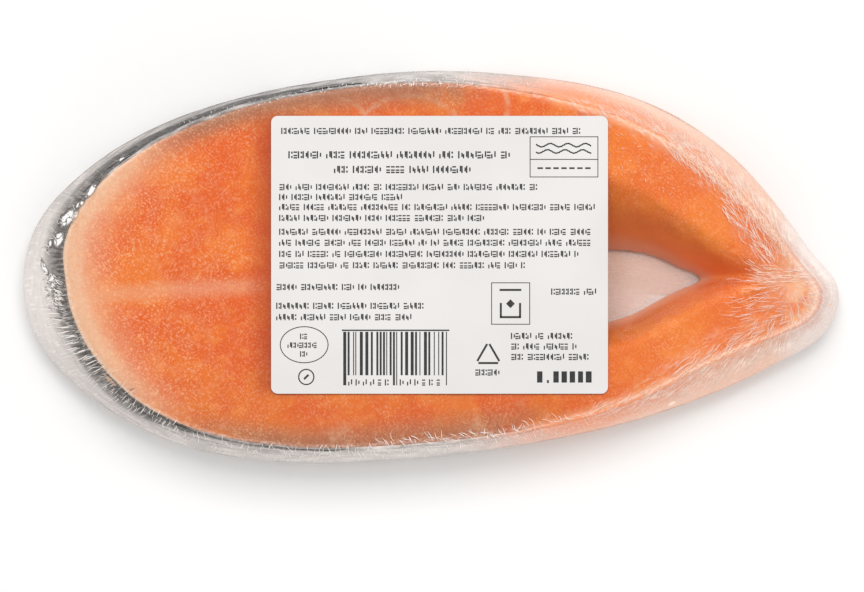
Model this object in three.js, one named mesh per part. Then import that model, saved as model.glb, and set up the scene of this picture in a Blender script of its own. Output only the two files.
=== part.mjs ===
// One frozen salmon steak, cut across the fish and sealed in tight clear film with a paper label.
//
// Millimetres, +Z up. The pack lies on z = 0 and its outline is centred on x = y = 0.
// +X points to the belly tip, -X to the back of the fish, and the labelled side faces up.
import * as THREE from 'three';

// ---- driving dimensions -------------------------------------------------------------------

const PACK_HEIGHT = 16.0; // the steak's thickness with its film, over a flat cut face
const WIDEST_AT = 4.6; // height above the table where the wrapped side wall is widest
const BASE_TUCK = 2.4; // how far the wall turns in from there to the flat base
const SHOULDER = 1.4; // rounding of the film over the edge of the upper cut face

// The outline at its widest height, seen from above, from the belly tip round by the upper edge.
// Each entry is x, y and the lean: how far inside the outline the upper cut face begins there.
const OUTLINE = [
  [99.1, -7.2, 5.0], // belly tip
  [98.0, -3.0, 4.6],
  [93.4, 1.6, 4.2], // neck behind the tip
  [84.6, 13.6, 4.6],
  [73.9, 25.8, 5.6],
  [57.5, 37.4, 6.0],
  [39.6, 43.7, 5.0],
  [18.8, 46.6, 3.4],
  [-0.5, 47.5, 2.4],
  [-22.2, 45.6, 2.2],
  [-46.4, 41.0, 2.4],
  [-68.1, 33.3, 3.4],
  [-85.0, 22.4, 5.0],
  [-95.9, 9.9, 8.0],
  [-99.0, -3.2, 10.4], // back of the fish
  [-96.4, -15.8, 10.4],
  [-87.0, -27.8, 8.0],
  [-73.0, -37.7, 5.2],
  [-54.8, -44.7, 4.2],
  [-31.9, -47.4, 3.4],
  [-2.9, -46.2, 3.0],
  [23.7, -42.8, 3.2],
  [49.8, -37.0, 4.6],
  [69.6, -30.0, 7.0],
  [84.8, -22.6, 6.4],
  [95.0, -16.4, 5.2],
];

// The belly cavity lies between the two flaps. The film spans it and dips a little.
const CAVITY_START = 42.5; // x where the dip leaves the label's edge
const CAVITY_DEEPEST = 52; // x of the deepest place
const CAVITY_CLOSES = 62; // x where the flaps come together
const SEAM_END = 88; // x where the last of the groove between the flaps is gone
const CAVITY_Y = -3.6; // y of the cavity's middle line
const SEAM_Y = -2.2; // y of the groove
const CAVITY_HALF_WIDTH = 10.5;
const SEAM_HALF_WIDTH = 5.0;
const CAVITY_DIP = 1.8;

const LABEL_WIDTH = 80.5;
const LABEL_HEIGHT = 66.4;
const LABEL_CORNER = 1.6;
const LABEL_THICKNESS = 0.3;
const LABEL_CENTRE = [1.8, 2.8];
const LABEL_GAP = 0.3; // clear of the film below it

// ---- how finely the film is divided ---------------------------------------------------------

const COLUMNS = 108; // round the outline
const BASE_ROUND_STEPS = 3;
const WALL_STEPS = 3;
const SHOULDER_STEPS = 3;
const TOP_RINGS = [0.93, 0.86, 0.79, 0.72, 0.65, 0.58, 0.51, 0.43, 0.34, 0.23, 0.12];

const FILM = new THREE.MeshStandardMaterial({ color: 0xf2935c, roughness: 0.25, metalness: 0 });
const PAPER = new THREE.MeshStandardMaterial({ color: 0xf4f0ed, roughness: 0.6, metalness: 0 });

// ---- the wrapped steak ------------------------------------------------------------------------

/** Evenly spaced stations round the outline: place, inward direction and lean of the wall. */
function outlineStations() {
  const curve = new THREE.CatmullRomCurve3(
    OUTLINE.map(([x, y, lean]) => new THREE.Vector3(x, y, lean)),
    true,
    'centripetal',
  );
  const points = curve.getSpacedPoints(COLUMNS).slice(0, COLUMNS);
  const middle = new THREE.Box3().setFromPoints(points).getCenter(new THREE.Vector3());
  for (const point of points) {
    point.x -= middle.x;
    point.y -= middle.y;
  }
  return points.map((point, i) => {
    const before = points.at(i - 1);
    const after = points[(i + 1) % COLUMNS];
    const along = new THREE.Vector2(after.x - before.x, after.y - before.y).normalize();
    return { x: point.x, y: point.y, lean: point.z, inX: -along.y, inY: along.x };
  });
}

/** The wall's section at one station, from the base edge to the top edge, as [inset, height]. */
function wallSection(lean) {
  const section = [];
  for (let i = 0; i < BASE_ROUND_STEPS; i++) {
    const turn = (Math.PI / 2) * (i / BASE_ROUND_STEPS);
    section.push([BASE_TUCK * (1 - Math.sin(turn)), WIDEST_AT * (1 - Math.cos(turn))]);
  }
  const shoulderFoot = PACK_HEIGHT - SHOULDER;
  for (let i = 0; i < WALL_STEPS; i++) {
    const share = i / WALL_STEPS;
    // the wall bulges a little before it leans in to the cut face
    section.push([lean * share ** 1.3, WIDEST_AT + (shoulderFoot - WIDEST_AT) * share]);
  }
  for (let i = 0; i <= SHOULDER_STEPS; i++) {
    const turn = (Math.PI / 2) * (i / SHOULDER_STEPS);
    section.push([
      lean + SHOULDER * (1 - Math.cos(turn)),
      shoulderFoot + SHOULDER * Math.sin(turn),
    ]);
  }
  return section;
}

/** How far the film dips below the plane of the cut face at one place. */
function cavityDip(x, y) {
  const rise = THREE.MathUtils.smoothstep(x, CAVITY_START, CAVITY_DEEPEST);
  const fall = 1 - THREE.MathUtils.smoothstep(x, CAVITY_DEEPEST, SEAM_END);
  const toSeam = THREE.MathUtils.smoothstep(x, CAVITY_DEEPEST, CAVITY_CLOSES);
  const middle = THREE.MathUtils.lerp(CAVITY_Y, SEAM_Y, toSeam);
  const halfWidth = THREE.MathUtils.lerp(CAVITY_HALF_WIDTH, SEAM_HALF_WIDTH, toSeam);
  const across = Math.min(1, Math.abs(y - middle) / halfWidth);
  return CAVITY_DIP * rise * fall * (1 + Math.cos(Math.PI * across)) / 2;
}

/** Points of the whole skin: rings from the base edge up the wall and in over the top. */
function filmRings() {
  const stations = outlineStations();
  const sections = stations.map((station) => wallSection(station.lean));
  const rings = sections[0].map((_, level) =>
    stations.map((station, i) => {
      const [inset, height] = sections[i][level];
      return [station.x + station.inX * inset, station.y + station.inY * inset, height];
    }),
  );
  const edge = rings.at(-1);
  for (const share of TOP_RINGS) {
    rings.push(
      edge.map(([x, y]) => [
        x * share,
        y * share,
        PACK_HEIGHT - cavityDip(x * share, y * share),
      ]),
    );
  }
  return rings;
}

/** The closed skin of the wrapped steak: its rings, a flat base and a closed top. */
function wrappedSteakGeometry() {
  const rings = filmRings();
  const positions = rings.flat(2);
  const baseCentre = positions.length / 3;
  positions.push(0, 0, 0);
  const topCentre = baseCentre + 1;
  positions.push(0, 0, PACK_HEIGHT);

  const faces = [];
  const lastRing = (rings.length - 1) * COLUMNS;
  for (let i = 0; i < COLUMNS; i++) {
    const next = (i + 1) % COLUMNS;
    faces.push(baseCentre, next, i);
    faces.push(topCentre, lastRing + i, lastRing + next);
    for (let ring = 0; ring < rings.length - 1; ring++) {
      const low = ring * COLUMNS;
      const high = low + COLUMNS;
      faces.push(low + i, low + next, high + next);
      faces.push(low + i, high + next, high + i);
    }
  }
  const geometry = new THREE.BufferGeometry();
  geometry.setAttribute('position', new THREE.Float32BufferAttribute(positions, 3));
  geometry.setIndex(faces);
  geometry.computeVertexNormals();
  return geometry;
}

// ---- the label ----------------------------------------------------------------------------------

/** A paper rectangle with rounded corners, lying flat, its lower face on z = 0. */
function labelGeometry() {
  const right = LABEL_WIDTH / 2;
  const top = LABEL_HEIGHT / 2;
  const shape = new THREE.Shape();
  shape.moveTo(-right + LABEL_CORNER, -top);
  shape.lineTo(right - LABEL_CORNER, -top);
  shape.absarc(right - LABEL_CORNER, -top + LABEL_CORNER, LABEL_CORNER, -Math.PI / 2, 0);
  shape.lineTo(right, top - LABEL_CORNER);
  shape.absarc(right - LABEL_CORNER, top - LABEL_CORNER, LABEL_CORNER, 0, Math.PI / 2);
  shape.lineTo(-right + LABEL_CORNER, top);
  shape.absarc(-right + LABEL_CORNER, top - LABEL_CORNER, LABEL_CORNER, Math.PI / 2, Math.PI);
  shape.lineTo(-right, -top + LABEL_CORNER);
  shape.absarc(-right + LABEL_CORNER, -top + LABEL_CORNER, LABEL_CORNER, Math.PI, Math.PI * 1.5);
  return new THREE.ExtrudeGeometry(shape, {
    depth: LABEL_THICKNESS,
    bevelEnabled: false,
    curveSegments: 6,
  });
}

// ---- the pack -------------------------------------------------------------------------------------

const pack = new THREE.Group();

const wrappedSteak = new THREE.Mesh(wrappedSteakGeometry(), FILM);
wrappedSteak.name = 'wrapped_steak';
pack.add(wrappedSteak);

const label = new THREE.Mesh(labelGeometry(), PAPER);
label.name = 'label';
label.position.set(...LABEL_CENTRE, PACK_HEIGHT + LABEL_GAP);
pack.add(label);

export default pack;
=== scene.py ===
"""A frozen salmon steak sealed in tight clear film, with a paper label, seen from straight above.

The frame gives the pack's outer form and the label's place. The film is a closed skin on that form,
with its pleats and creases modelled. The steak inside has its cut faces, its skin and its backbone.
Lengths are in millimetres until a mesh is placed, and the frame's axes are kept: +X is the belly tip.
A curve's stops are its values by place: in mm along the steak, or in degrees round it from +X.
A number painted on a mesh is for its material: a share of 0 to 1, or a distance in mm.
"""

import logging
import math
from contextlib import contextmanager
from dataclasses import dataclass, field
from enum import Enum
from typing import Iterator

import bpy
import numpy as np
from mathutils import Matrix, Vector
from mathutils.bvhtree import BVHTree
from mathutils.kdtree import KDTree


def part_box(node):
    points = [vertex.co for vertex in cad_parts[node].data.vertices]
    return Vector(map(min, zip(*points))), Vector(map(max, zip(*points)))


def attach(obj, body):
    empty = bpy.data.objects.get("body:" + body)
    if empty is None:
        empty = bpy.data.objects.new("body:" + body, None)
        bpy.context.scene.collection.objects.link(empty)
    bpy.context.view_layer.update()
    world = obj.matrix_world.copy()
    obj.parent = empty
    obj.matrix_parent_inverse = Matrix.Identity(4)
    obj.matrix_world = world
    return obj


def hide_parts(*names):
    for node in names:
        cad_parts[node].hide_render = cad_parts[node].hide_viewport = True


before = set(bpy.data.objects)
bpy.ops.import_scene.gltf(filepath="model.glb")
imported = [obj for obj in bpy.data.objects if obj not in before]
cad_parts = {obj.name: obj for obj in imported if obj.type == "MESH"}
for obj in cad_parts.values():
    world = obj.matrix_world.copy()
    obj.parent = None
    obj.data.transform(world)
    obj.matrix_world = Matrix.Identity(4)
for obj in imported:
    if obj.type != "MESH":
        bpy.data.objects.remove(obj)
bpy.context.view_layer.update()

MM = 0.001
TURN = 2 * math.pi
# a glint is a painted highlight, and its dark outline is painted shadow
GLINT_EDGE = -0.12  # a glint's dark outline lies where its stored number is this
LOG = logging.getLogger("pack")

Colour = tuple[float, float, float]
Array = np.ndarray
Stops = dict[float, float]
Inputs = dict[str | int, object]
Socket = bpy.types.NodeSocket
Piece = bpy.types.Object


def shade(red: int, green: int, blue: int) -> Colour:
    """A linear colour from the three parts of a screen colour.

    Args:
        red: The red part, 0 to 255.
        green: The green part, 0 to 255.
        blue: The blue part, 0 to 255.

    Returns:
        The colour in linear light.
    """
    dark_end, slope, lift, gamma = 0.04045, 12.92, 0.055, 2.4
    parts = (part / 255 for part in (red, green, blue))
    return tuple(p / slope if p <= dark_end else ((p + lift) / (1 + lift)) ** gamma for p in parts)


def ease(value: Array, low: float, high: float) -> Array:
    """A smooth step from 0 at low to 1 at high; low may be the larger.

    Args:
        value: Where to read the step.
        low: Where it is 0.
        high: Where it is 1.

    Returns:
        The step at each value.
    """
    share = np.clip((value - low) / (high - low), 0, 1)
    return share * share * (3 - 2 * share)


def curve(stops: Stops) -> Stops:
    """A dataclass field that holds a curve's stops, its values by place."""
    return field(default_factory=lambda: dict(stops))


def eased_curve(x: Array, stops: Stops, spread: float = 3.0) -> Array:
    """A smooth curve near the given stops.

    Args:
        x: Where to read the curve.
        stops: Values of the curve by place.
        spread: How far the corners at the stops are rounded, in the stops' own units.

    Returns:
        The curve at each x.
    """
    places = np.array(list(stops))
    steps, blur, reach, margin = 6, 5, 12, 4 * spread
    fine = np.arange(places[0] - margin, places[-1] + margin, spread / steps)
    rough = np.interp(fine, places, list(stops.values()))
    weights = np.exp(-0.5 * (np.arange(-reach, reach + 1) / blur) ** 2)
    smooth = np.convolve(np.pad(rough, reach, mode="edge"), weights / weights.sum(), mode="valid")
    return np.interp(x, fine, smooth)


def ripple(points: Array, size: float, seed: int, waves: int = 14) -> Array:
    """Soft uneven relief, from the sum of waves that run in random directions.

    Args:
        points: The points to read it at, in mm.
        size: The usual width of a hump, in mm.
        seed: Which relief of this kind.
        waves: How many waves are added.

    Returns:
        Heights of about -1 to 1.
    """
    draw = np.random.default_rng(seed)
    total = np.zeros(len(points))
    for _ in range(waves):
        direction = draw.normal(size=points.shape[1])
        direction /= np.linalg.norm(direction)
        length = 2 * size * draw.uniform(0.7, 1.6)
        total += np.sin(points @ direction * (TURN / length) + draw.uniform(0, TURN))
    return total / math.sqrt(waves)


class Axis(Enum):
    """Which part of a place a material reads: along the steak, or across it."""

    X = 0
    Y = 1


# ---- the modelling bench -----------------------------------------------------------------------


class Bench:
    """Modelling operators, used on one piece at a time."""

    @staticmethod
    def clear() -> None:
        """Leaves edit mode and deselects everything."""
        if bpy.context.object and bpy.context.object.mode != "OBJECT":
            bpy.ops.object.mode_set(mode="OBJECT")
        bpy.ops.object.select_all(action="DESELECT")

    @staticmethod
    def claim(name: str) -> Piece:
        """Names the primitive that was just added.

        Args:
            name: The piece's name.

        Returns:
            The piece.
        """
        piece = bpy.context.object
        piece.name = piece.data.name = name
        return piece

    @staticmethod
    def take_up(piece: Piece) -> None:
        """Makes a piece the only one selected, and active.

        Args:
            piece: The piece.
        """
        Bench.clear()
        piece.select_set(True)
        bpy.context.view_layer.objects.active = piece

    @staticmethod
    @contextmanager
    def editing(piece: Piece, select: str = "SELECT") -> Iterator[None]:
        """Edit mode on one piece, with all of it selected or none of it.

        Args:
            piece: The piece to edit.
            select: SELECT or DESELECT, for what is selected to begin with.

        Yields:
            Nothing; the body runs in edit mode.
        """
        Bench.take_up(piece)
        bpy.ops.object.mode_set(mode="EDIT")
        bpy.ops.mesh.select_all(action=select)
        yield
        bpy.ops.object.mode_set(mode="OBJECT")

    @staticmethod
    def read(parts: bpy.types.bpy_prop_collection, name: str) -> Array:
        """Reads three numbers of each of a mesh's parts.

        Args:
            parts: The mesh's vertices or normals.
            name: Which of their properties.

        Returns:
            One row for each part.
        """
        flat = np.zeros(len(parts) * 3, np.float32)
        parts.foreach_get(name, flat)
        return flat.reshape(-1, 3).astype(float)

    @staticmethod
    def points(piece: Piece) -> Array:
        """The piece's vertices, in mm."""
        return Bench.read(piece.data.vertices, "co") / MM

    @staticmethod
    def place(piece: Piece, points: Array) -> None:
        """Moves the piece's vertices to these points, in mm."""
        piece.data.vertices.foreach_set("co", (points * MM).astype(np.float32).ravel())
        piece.data.update()

    @staticmethod
    def normals(piece: Piece) -> Array:
        """The direction that each vertex faces."""
        return Bench.read(piece.data.vertex_normals, "vector")

    @staticmethod
    def paint(piece: Piece, name: str, values: Array) -> None:
        """Stores one number at each vertex, for a material to read.

        Args:
            piece: The piece that carries the numbers.
            name: The attribute's name.
            values: One number for each vertex.
        """
        layer = piece.data.attributes.new(name, "FLOAT", "POINT")
        layer.data.foreach_set("value", np.asarray(values, np.float32))

    @staticmethod
    def finish_with(piece: Piece, kind: str, **settings: object) -> None:
        """Adds one modifier to a piece and applies it.

        Args:
            piece: The piece to change.
            kind: The modifier's type.
            settings: The modifier's settings, by name.
        """
        Bench.take_up(piece)
        modifier = piece.modifiers.new(kind.title(), kind)
        for name, value in settings.items():
            setattr(modifier, name, value)
        bpy.ops.object.modifier_apply(modifier=modifier.name)

    @staticmethod
    def smooth(piece: Piece, angle: float = 180.0) -> None:
        """Shades a piece smooth, up to an angle in degrees between its faces."""
        Bench.take_up(piece)
        bpy.ops.object.shade_smooth_by_angle(angle=math.radians(angle))

    @staticmethod
    def close_up() -> None:
        """In edit mode, turns all of the piece's faces outwards."""
        bpy.ops.mesh.select_all(action="SELECT")
        bpy.ops.mesh.normals_make_consistent(inside=False)

    @staticmethod
    def fill(piece: Piece, points: Array, faces: list[tuple[int, ...]]) -> None:
        """Gives a piece other vertices, in mm, and other faces.

        Args:
            piece: The piece.
            points: Its new vertices.
            faces: Its new faces, as numbers of vertices.
        """
        piece.data.clear_geometry()
        piece.data.from_pydata((points * MM).tolist(), [], faces)
        piece.data.update()

    @staticmethod
    def loft(
        name: str, sides: int, heights: list[float], capped: bool
    ) -> tuple[Piece, Array, Array]:
        """A round primitive drawn up through the given heights, ready for its outline.

        Args:
            name: The piece's name.
            sides: How many stations it has round it.
            heights: The height of each of its levels, in mm.
            capped: True if it is closed at its first and last level.

        Returns:
            The piece, and for each of its vertices the station's number and the level's number.
        """
        Bench.clear()
        fill = "NGON" if capped else "NOTHING"
        bpy.ops.mesh.primitive_circle_add(vertices=sides, radius=1.0, fill_type=fill)
        piece = Bench.claim(name)
        with Bench.editing(piece):
            for _ in heights[1:]:
                bpy.ops.mesh.extrude_region_move(TRANSFORM_OT_translate={"value": (0, 0, 1)})
            Bench.close_up()
        rough = Bench.points(piece) * MM
        turn = np.arctan2(rough[:, 1], rough[:, 0]) / TURN
        stations = np.round(turn * sides).astype(int) % sides
        return piece, stations, np.round(rough[:, 2]).astype(int)


# ---- materials ---------------------------------------------------------------------------------


class Value:
    """A number in a material. Python's operators on it add the nodes that work it out."""

    def __init__(self, net: "Net", socket: Socket) -> None:
        """Wraps one output of a node."""
        self.net, self.socket = net, socket

    def work(self, operation: str, *others: "Value | float") -> "Value":
        """The result of one Math node on this number and others."""
        inputs = dict(enumerate((self, *others)))
        return self.net.number("ShaderNodeMath", {"operation": operation}, inputs)

    def __add__(self, other: "Value | float") -> "Value":
        """This number plus another."""
        return self.work("ADD", other)

    __radd__ = __add__

    def __mul__(self, other: "Value | float") -> "Value":
        """This number times another."""
        return self.work("MULTIPLY", other)

    __rmul__ = __mul__

    def __sub__(self, other: "Value | float") -> "Value":
        """This number less another."""
        return self.work("SUBTRACT", other)

    def __rsub__(self, other: float) -> "Value":
        """A plain number less this one."""
        return self.net.number("ShaderNodeMath", {"operation": "SUBTRACT"}, {0: other, 1: self})

    def __abs__(self) -> "Value":
        """This number's size."""
        return self.work("ABSOLUTE")

    def most(self, other: "Value | float") -> "Value":
        """The larger of two numbers."""
        return self.work("MAXIMUM", other)

    def least(self, other: "Value | float") -> "Value":
        """The smaller of two numbers."""
        return self.work("MINIMUM", other)

    def step(self, low: float, high: float) -> "Value":
        """A smooth step of this number.

        Args:
            low: Where it is 0.
            high: Where it is 1; it may be below low.

        Returns:
            The step, 0 to 1.
        """
        inputs = {"Value": self, "From Min": min(low, high), "From Max": max(low, high)}
        inputs |= {"To Min": float(low > high), "To Max": float(low < high)}
        return self.net.number("ShaderNodeMapRange", {"interpolation_type": "SMOOTHSTEP"}, inputs)


class Net:
    """One material's nodes."""

    def __init__(self, name: str) -> None:
        """Starts an empty material.

        Args:
            name: The material's name.
        """
        self.material = bpy.data.materials.new(name)
        self.material.use_nodes = True
        self.tree = self.material.node_tree
        self.tree.nodes.clear()
        object_place = self.node("ShaderNodeTexCoord", {}, {}).outputs["Object"]
        self.place = self.vector("SCALE", {0: object_place, "Scale": 1 / MM})

    def node(self, kind: str, settings: dict[str, object], inputs: Inputs) -> bpy.types.Node:
        """Adds one node.

        Args:
            kind: The node's type.
            settings: Its settings, set first.
            inputs: Values, links or wrapped numbers for its sockets, by name or number.

        Returns:
            The node.
        """
        node = self.tree.nodes.new(kind)
        for name, value in settings.items():
            setattr(node, name, value)
        for name, value in inputs.items():
            value = value.socket if isinstance(value, Value) else value
            if isinstance(value, Socket):
                self.tree.links.new(value, node.inputs[name])
            elif isinstance(value, tuple) and len(value) == 3 and node.inputs[name].type == "RGBA":
                node.inputs[name].default_value = (*value, 1.0)
            else:
                node.inputs[name].default_value = value
        return node

    def number(self, kind: str, settings: dict[str, object], inputs: Inputs) -> Value:
        """The first output of a new node, as a number to reckon with."""
        return Value(self, self.node(kind, settings, inputs).outputs[0])

    def vector(self, operation: str, inputs: Inputs) -> Socket:
        """The result of one Vector Math node."""
        return self.node("ShaderNodeVectorMath", {"operation": operation}, inputs).outputs[0]

    def away(self, place: Socket, centre: tuple[float, float, float]) -> Value:
        """How far a place is from a centre."""
        node = self.node("ShaderNodeVectorMath", {"operation": "DISTANCE"}, {0: place, 1: centre})
        return Value(self, node.outputs["Value"])

    def along(self, axis: Axis) -> Value:
        """One part of the material's own place, in mm."""
        parts = self.node("ShaderNodeSeparateXYZ", {}, {0: self.place})
        return Value(self, parts.outputs[axis.value])

    def painted(self, name: str) -> Value:
        """The number that the mesh stores under this name."""
        node = self.node("ShaderNodeAttribute", {"attribute_name": name}, {})
        return Value(self, node.outputs["Fac"])

    def joined(self, x: object, y: object, z: object = 0.0) -> Socket:
        """A place made of three numbers."""
        return self.node("ShaderNodeCombineXYZ", {}, {0: x, 1: y, 2: z}).outputs[0]

    def noise(
        self,
        size: float,
        detail: float = 2.0,
        rough: float = 0.5,
        at: Socket | None = None,
        bend: float = 0.0,
    ) -> Value:
        """Cloudy noise of about 0 to 1.

        Args:
            size: The usual width of a cloud, in the units of the place.
            detail: How many finer layers it has.
            rough: How strong the finer layers are.
            at: Where to read it, if not at the material's own place.
            bend: How far it is warped.

        Returns:
            The noise.
        """
        inputs = {"Vector": at or self.place, "Scale": 1 / size, "Detail": detail}
        inputs |= {"Roughness": rough, "Distortion": bend}
        return self.number("ShaderNodeTexNoise", {}, inputs)

    def turned(self, angle: float, stretch: tuple[float, float, float]) -> Socket:
        """The material's own place, turned and then stretched.

        Args:
            angle: How far it is turned about Z, in degrees.
            stretch: How many times it is scaled along each axis.

        Returns:
            The new place.
        """
        inputs = {"Vector": self.place, "Rotation": (0.0, 0.0, math.radians(angle))}
        turned = self.node("ShaderNodeMapping", {"vector_type": "POINT"}, inputs).outputs[0]
        return self.vector("MULTIPLY", {0: turned, 1: stretch})

    def mix(self, share: object, first: object, second: object) -> Socket:
        """One colour laid over another.

        Args:
            share: How much of the second colour shows.
            first: The colour below.
            second: The colour above.

        Returns:
            The mixed colour.
        """
        settings = {"data_type": "RGBA", "blend_type": "MIX", "clamp_factor": True}
        return self.node("ShaderNodeMix", settings, {0: share, 6: first, 7: second}).outputs[2]

    def coats(self, colour: object, *coats: tuple[object, object]) -> Socket:
        """A colour with others laid over it, one by one.

        Args:
            colour: The colour at the bottom.
            coats: For each coat, how much of it shows, and its colour.

        Returns:
            The mixed colour.
        """
        for share, coat in coats:
            colour = self.mix(share, colour, coat)
        return colour

    def bump(self, height: Value, depth: float, strength: float = 1.0) -> Socket:
        """A normal bent by a height.

        Args:
            height: The relief, 0 to 1.
            depth: How deep the whole relief is, in mm.
            strength: How much of it shows.

        Returns:
            The bent normal.
        """
        inputs = {"Height": height, "Distance": depth * MM, "Strength": strength}
        return self.node("ShaderNodeBump", {}, inputs).outputs[0]

    def show(self, shader: Socket) -> bpy.types.Material:
        """Ends the material with this shader."""
        self.node("ShaderNodeOutputMaterial", {}, {"Surface": shader})
        return self.material

    def solid(self, colour: object, roughness: object, **inputs: object) -> Socket:
        """A Principled surface.

        Args:
            colour: Its base colour.
            roughness: Its roughness.
            inputs: Its other sockets, with _ for each space in their names.

        Returns:
            The surface.
        """
        sockets = {"Base Color": colour, "Roughness": roughness}
        sockets |= {name.replace("_", " "): value for name, value in inputs.items()}
        return self.node("ShaderNodeBsdfPrincipled", {}, sockets).outputs[0]


@dataclass(frozen=True)
class FleshFinish:
    """Frozen raw salmon: mottled orange under a fine felt of frost, pale where fat lies."""

    orange: Colour = shade(230, 118, 22)
    deep: Colour = shade(223, 95, 9)
    light: Colour = shade(244, 148, 72)
    # shaded: the colour of the label's painted shadow on the flesh
    shaded: Colour = shade(176, 58, 2)
    fat: Colour = shade(232, 190, 156)
    brown: Colour = shade(166, 110, 80)
    # inner: painted light, a paler orange that lifts the shade on the cavity's upper slope, which faces away
    # from the key light
    inner: Colour = shade(254, 142, 72)
    # peach: painted light, the glow of thin flesh low on the cavity's slopes, which also lifts the shade at
    # the hole's edge
    peach: Colour = shade(240, 174, 144)
    frost: Colour = shade(248, 202, 162)
    amber: Colour = shade(252, 194, 108)
    # strip: the middle of the label's painted shadow strip, x and y in mm
    strip: tuple[float, float] = (-37.0, 2.8)
    whorls: tuple[tuple[float, float, float], ...] = ((-60.5, 11.0, 15.0), (-60.0, -18.0, 15.0))
    arcs: tuple[tuple[float, float, tuple[float, float], float], ...] = (
        (-15.3, 5.5, (-5.2, 26.4), 14.6),
        (-24.4, -15.3, (-27.0, 26.0), 15.2),
        (15.0, 19.0, (3.0, 38.0), 14.9),
    )

    def build(self) -> bpy.types.Material:
        """Makes the material.

        Returns:
            The finished material.
        """
        net = Net("frozen_salmon_flesh")
        x, y = net.along(Axis.X), net.along(Axis.Y)
        clouds, spots = net.noise(13.0, 3.0, 0.6), net.noise(3.2, 2.0, 0.6)
        flap = x.step(24.0, 56.0)
        colour = net.coats(
            self.deep,
            (clouds.step(0.38, 0.62), self.orange),
            (spots.step(0.52, 0.78) * 0.45, self.light),
            (flap * 0.3, self.light),
        )
        colour = self.muscle_lines(net, colour, x, y)
        colour = self.edges(net, colour, x, y)
        # inner: painted light on the cavity's upper slope; peach: painted light low on its slopes
        inner, peach = net.painted("inner"), net.painted("peach")
        tip_spots = x.step(83.0, 88.0) * net.noise(3.4, 2.0).step(0.4, 0.54)
        felt = self.felt(net)
        back, patches = x.step(-30.0, -80.0), net.noise(9.0).step(0.35, 0.7)
        cover = felt.step(0.46, 0.68) * (0.19 + 0.22 * patches + 0.28 * back)
        cover = cover * (1 - 0.8 * inner) * (1 - 0.7 * self.label_shadow(x, y))
        colour = net.coats(
            colour,
            (inner * 0.9, self.inner),
            (peach, self.peach),
            (tip_spots * 0.8, self.amber),
            (cover, self.frost),
        )
        normal = net.bump(felt * 0.5 + spots * 0.5, 0.22, 0.6)
        return net.show(net.solid(colour, 0.55, Normal=normal, Specular_IOR_Level=0.25))

    def label_shadow(self, x: Value, y: Value) -> Value:
        """1 on the strip of painted shadow that the label casts on the flesh, along its left side."""
        return abs(x - self.strip[0]).step(8.5, 1.5) * abs(y - self.strip[1]).step(35.5, 30.5)

    def felt(self, net: Net) -> Value:
        """Short frost fibres that lie in patches of two directions.

        Args:
            net: The material's nodes.

        Returns:
            The felt, 0 to 1.
        """
        one, other = (net.noise(0.42, 3.0, 0.75, net.turned(angle, (1.0, 0.6, 1.0))) for angle in (38, -52))
        patch = net.noise(5.0, 1.0).step(0.45, 0.55)
        return one * patch + other * (1 - patch)

    def muscle_lines(self, net: Net, colour: object, x: Value, y: Value) -> Socket:
        """The pale membranes between the muscles.

        Args:
            net: The material's nodes.
            colour: The flesh so far.
            x: The place along the steak, in mm.
            y: The place across it, in mm.

        Returns:
            The flesh with its membranes.
        """
        sway = (net.noise(8.0, 2.0) - 0.5) * 5.0
        septum = abs(y + 5.6 - (x + 60.0) * 0.06 + sway * 0.35).step(3.4, 0.2)
        septum = septum * x.step(-36.0, -46.0) * x.step(-86.0, -74.0)
        colour = net.mix(septum * 0.32, colour, self.fat)
        for centre in self.whorls:
            rings = net.away(net.place, centre) + sway * 1.3
            waves = (rings * 1.1).work("SINE").step(0.2, 1.0) * rings.step(17.0, 10.0)
            colour = net.mix(waves * 0.07, colour, self.fat)
        drop = (x - 28.4).most(0.0)
        flank = abs(y - 40.2 + drop * 0.2025 + drop * drop * 0.007 + sway * 0.16).step(0.7, 0.1)
        lines = flank * x.step(26.0, 30.0) * x.step(78.0, 70.0)
        for left, right, centre, radius in self.arcs:
            arc = abs(net.away(net.joined(x, y), (*centre, 0.0)) - radius + sway * 0.3).step(1.1, 0.0)
            span = x.step(left - 1.0, left) * x.step(right + 1.0, right)
            lines = lines.most(arc * span * y.step(34.0, 36.0))
        broken = net.noise(2.6, 2.0).step(0.3, 0.6)
        return net.mix(lines * (0.14 + 0.34 * broken), colour, self.fat)

    def edges(self, net: Net, colour: object, x: Value, y: Value) -> Socket:
        """The fat and brown tissue just inside the skin, painted shade towards the bottom, and a painted
        shadow strip along the label.

        Args:
            net: The material's nodes.
            colour: The flesh so far.
            x: The place along the steak, in mm.
            y: The place across it, in mm.

        Returns:
            The flesh with its edges.
        """
        uneven = net.noise(4.0, 2.0) - 0.5
        rim = net.painted("rim") + uneven * 1.8
        back = x.step(-52.0, -80.0)
        fat = (rim.step(15.0, 2.0) * 0.56 + rim.step(7.0, 2.5) * 0.3) * back
        fat = fat * (0.6 + 0.85 * net.noise(1.1, 3.0, 0.7))
        belly, below = x.step(16.0, 50.0), y.step(-18.0, -42.0)
        middle = abs(x + 30.0 - y.step(12.0, -12.0) * 16.0 + uneven * 16.0).step(50.0, 26.0) * (1 - back)
        pale = net.noise(7.0, 3.0, 0.6).step(0.56, 0.72) * rim.step(10.0, 2.0) * below
        return net.coats(
            colour,
            (fat + rim.step(0.9, 0.1) * 0.5, self.fat),
            (rim.step(3.0, 0.2) * belly * 0.7, self.frost),
            (rim.step(8.5, 0.8) * middle * (0.95 - 0.1 * below), self.brown),
            (pale * 0.5, self.fat),
            # painted shade: the flesh turns browner towards the bottom, where the light falls off
            (below * 0.14, self.brown),
            # painted shadow of the label on the flesh beside its left edge
            (self.label_shadow(x, y) * 0.72, self.shaded),
        )


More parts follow.
